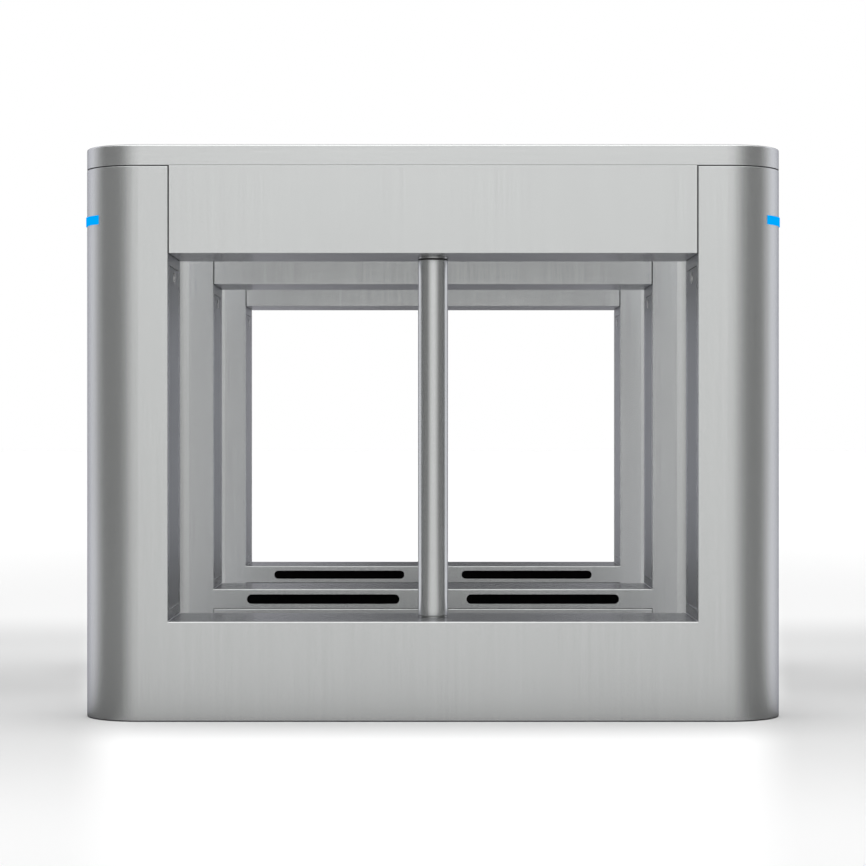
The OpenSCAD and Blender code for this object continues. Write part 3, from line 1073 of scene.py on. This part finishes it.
def make_floor():
    mesh = bpy.data.meshes.new("floor")
    bm = bmesh.new()
    bmesh.ops.create_grid(bm, x_segments=1, y_segments=1, size=FLOOR_HALF)
    bm.to_mesh(mesh)
    bm.free()
    floor = link(bpy.data.objects.new("floor", mesh))
    material, tree = new_finish("white_floor")
    x, y = tree.axis("X"), tree.axis("Y")
    end_x, near_y, r = plan_of("near")
    front_y = near_y - r
    # The shade beside the row comes closer in towards the front
    edges = [end_x + share * r for share in SHADE_START]
    beside = (abs(x) - SHADE_SLOPE * (y - front_y)).step(*edges)
    # Painted contact shadow along the near pedestal, on top of the lamps' own shadow; beside the
    # row the floor takes the painted shadow bands
    clear = abs(y - near_y).step(r, r + CONTACT_REACH)
    contact_shadow = PAINTED_CONTACT_SHADOW + (1.0 - PAINTED_CONTACT_SHADOW) * clear
    tone = tree.mix(beside, contact_shadow, one_after_another(tree, y, FRONT_TONE, PAINTED_FLOOR_SHADOWS))
    tone = tree.mix(abs(x).step(*FLOOR_FADE), tone, 1.0)
    seen = tree.node("ShaderNodeBsdfDiffuse", {}, {"Color": tree.grey(FLOOR_GREY * tone)})
    # The steel finds the tent's own light on the floor, dimmed where a pedestal stands close
    out_x = x - x.least(end_x).most(-end_x)
    out_y = y - near_y
    away = ((out_x * out_x + out_y * out_y) ** 0.5 - r).most(0.0)
    turn, level, cloth = tent_level(tree, out_x, out_y)
    lifted = level + FLOOR_LIFT + REAR_FLOOR_LIFT * turn.step(*CLOTH_TURN)
    dimmed = lifted * (FLOOR_DIM + FLOOR_GAIN * away / (away + FLOOR_REACH))
    mirrored_floor = tree.node("ShaderNodeEmission", {}, {"Color": cloth, "Strength": dimmed})
    mixed = tree.node("ShaderNodeMixShader", {}, [mirrored_rays(tree), seen, mirrored_floor])
    tree.node("ShaderNodeOutputMaterial", {}, {"Surface": mixed})
    mesh.materials.append(material)
    material.cycles.emission_sampling = "NONE"


def make_tent(radius):
    """Round light tent with a bright top and dark sides, for what the steel mirrors.

    Through a clear wing it is plain white.
    """
    mesh = bpy.data.meshes.new("light_tent")
    bm = bmesh.new()
    height = radius
    bmesh.ops.create_cone(
        bm, cap_ends=True, segments=TENT_SEGMENTS, radius1=radius, radius2=radius, depth=height,
        matrix=Matrix.Translation((0.0, 0.0, height / 2 - TENT_SINK)),
    )
    bottom = [face for face in bm.faces if face.calc_center_median().z < 0.0]
    bmesh.ops.delete(bm, geom=bottom, context="FACES_ONLY")
    bm.to_mesh(mesh)
    bm.free()
    tent = link(bpy.data.objects.new("light_tent", mesh))
    material, tree = new_finish("tent_cloth")
    turn, level, cloth = tent_level(tree, tree.axis("X"), tree.axis("Y"))
    z = tree.axis("Z")
    behind = turn.step(*CLOTH_TURN)
    high = turn.step(*HIGH_WALL_TURN) * z.step(*HIGH_WALL_Z)
    wall = tree.mix(high, level * (WALL_FOOT + WALL_RISE * z), REAR_LEVEL)
    key = z.step(*KEY_Z) * (1.0 - turn.step(*KEY_TURN))
    top = tree.mix(behind, TOP_LEVEL, REAR_TOP_LEVEL)
    strength = tree.mix(z.step(*ROOF_Z), tree.mix(key, wall, TOP_LEVEL), top)
    glow = tree.node("ShaderNodeEmission", {}, {"Color": cloth, "Strength": strength})
    plain = tree.node("ShaderNodeEmission", {}, {"Color": (1.0, 1.0, 1.0, 1.0), "Strength": 1.0})
    mixed = tree.node("ShaderNodeMixShader", {}, [mirrored_rays(tree), plain, glow])
    tree.node("ShaderNodeOutputMaterial", {}, {"Surface": mixed})
    mesh.materials.append(material)
    material.cycles.emission_sampling = "NONE"
    tent.visible_camera = False
    tent.visible_diffuse = False
    tent.visible_shadow = False


# Each lamp with its share of the light on a white floor, its height angle, its turn from the
# front and its softness, in degrees
LAMPS = {
    "overhead": (0.84, 90.0, 0.0, 32.0),
    "left": (0.05, 35.0, -95.0, 40.0),
    "right": (0.05, 35.0, 95.0, 40.0),
    "front": (0.09, 10.0, 0.0, 40.0),
}
AMBIENT = 0.1


def make_lamps():
    """Soft daylight lamps for the floor and all that isn't metal."""
    for name, (share, height, turn, softness) in LAMPS.items():
        data = bpy.data.lights.new(f"{name}_lamp", "SUN")
        data.angle = math.radians(softness)
        data.energy = math.pi * share / math.sin(math.radians(height))
        lamp = link(bpy.data.objects.new(f"{name}_lamp", data))
        lamp.rotation_euler = (math.radians(90.0 - height), 0.0, math.radians(turn))
        lamp.visible_glossy = False
        data.use_shadow = name != "front"


def make_world():
    world = bpy.data.worlds.new("studio")
    bpy.context.scene.world = world
    tree = Finish(world)
    ambient = tree.node("ShaderNodeBackground", {}, [(1.0, 1.0, 1.0, 1.0), AMBIENT])
    white = tree.node("ShaderNodeBackground", {}, [(1.0, 1.0, 1.0, 1.0), 1.0])
    seen = rays(tree, "Is Camera Ray", "Is Glossy Ray", "Is Transmission Ray")
    mixed = tree.node("ShaderNodeMixShader", {}, [seen, ambient, white])
    tree.node("ShaderNodeOutputWorld", {}, {"Surface": mixed})


def make_camera(settings):
    data = bpy.data.cameras.new("camera")
    data.lens = settings.lens
    data.sensor_width = 36.0
    data.clip_end = 200.0
    camera = link(bpy.data.objects.new("camera", data))
    near_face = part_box("near_beam")[0].y
    camera.location = (0.0, near_face - settings.camera_distance, settings.camera_height)
    camera.rotation_euler = (math.pi / 2, 0.0, 0.0)
    bpy.context.scene.camera = camera


# ---------------------------------------------------------------- panel and start

SETTINGS = (
    (SteelSettings, "turnstile_steel"),
    (TrimSettings, "turnstile_trim"),
    (WingSettings, "turnstile_wing"),
    (LightSettings, "turnstile_light"),
    (StageSettings, "turnstile_stage"),
)
OPERATORS = (
    TURNSTILE_OT_sheet,
    TURNSTILE_OT_poles,
    TURNSTILE_OT_wings,
    TURNSTILE_OT_signals,
    TURNSTILE_OT_fittings,
    TURNSTILE_OT_seam_shades,
    TURNSTILE_OT_stage,
)


class TURNSTILE_PT_panel(bpy.types.Panel):
    """Sizes, colours and pieces of the turnstile"""

    bl_idname = "TURNSTILE_PT_panel"
    bl_label = "Swing Barrier Turnstile"
    bl_space_type = "VIEW_3D"
    bl_region_type = "UI"
    bl_category = "Turnstile"

    def draw(self, context):
        for group, name in SETTINGS:
            box = self.layout.box()
            for prop in group.__annotations__:
                box.prop(getattr(context.scene, name), prop)
        for operator in OPERATORS:
            self.layout.operator(operator.bl_idname)


def register():
    for group, name in SETTINGS:
        bpy.utils.register_class(group)
        setattr(bpy.types.Scene, name, PointerProperty(type=group))
    for operator in OPERATORS:
        bpy.utils.register_class(operator)
    bpy.utils.register_class(TURNSTILE_PT_panel)


def unregister():
    bpy.utils.unregister_class(TURNSTILE_PT_panel)
    for operator in reversed(OPERATORS):
        bpy.utils.unregister_class(operator)
    for group, name in reversed(SETTINGS):
        delattr(bpy.types.Scene, name)
        bpy.utils.unregister_class(group)


def main():
    register()
    for operator in OPERATORS:
        group, name = operator.bl_idname.split(".")
        getattr(getattr(bpy.ops, group), name)()


if __name__ == "__main__":
    main()
